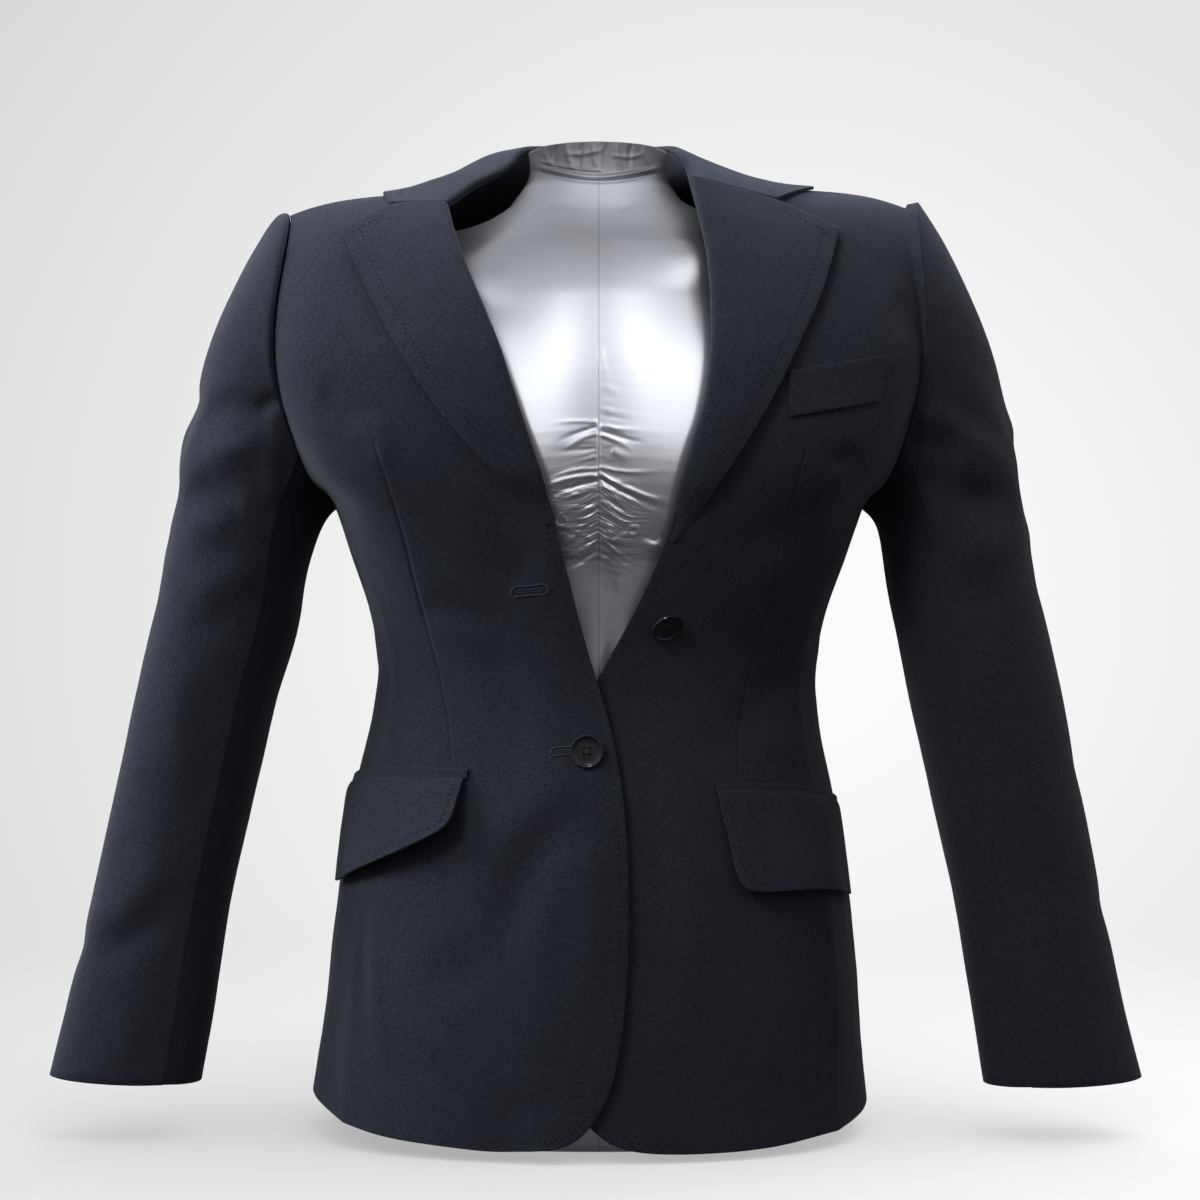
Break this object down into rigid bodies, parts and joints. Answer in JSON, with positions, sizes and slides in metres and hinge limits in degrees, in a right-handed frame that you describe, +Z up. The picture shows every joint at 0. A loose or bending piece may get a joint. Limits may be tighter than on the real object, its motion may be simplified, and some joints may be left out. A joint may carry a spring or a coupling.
{
  "type": "single-breasted blazer on a limbless torso form",
  "caption": "Dark wool blazer with notched lapels, flap pockets and a buttoned front, worn by a smooth limbless torso form that stands on its own flat base.",
  "frame": {"origin": "the middle of the torso form's flat base", "axes": "+Z up, the front of the blazer faces -Y, and +X runs to the wearer's left"},
  "size_m": [0.6928, 0.2447, 0.6486],
  "materials": {
    "cloth": "fine plain wool, matt with a faint nap",
    "satin": "silver satin, soft sheen",
    "button": "polished"
  },
  "bodies": {
    "root": {"front_right": "cloth", "front_left": "cloth", "side_right": "cloth", "side_left": "cloth", "back_right": "cloth", "back_left": "cloth", "lapel_right": "cloth", "lapel_left": "cloth", "collar_fall": "cloth", "collar_stand": "cloth", "sleeve_top_right": "cloth", "sleeve_top_left": "cloth", "sleeve_under_right": "cloth", "sleeve_under_left": "cloth", "jet_right": "cloth", "jet_left": "cloth", "flap_right": "cloth", "flap_left": "cloth", "breast_welt": "cloth", "button_lower": "button", "button_upper": "button", "torso_form": "satin"}
  },
  "joints": []
}
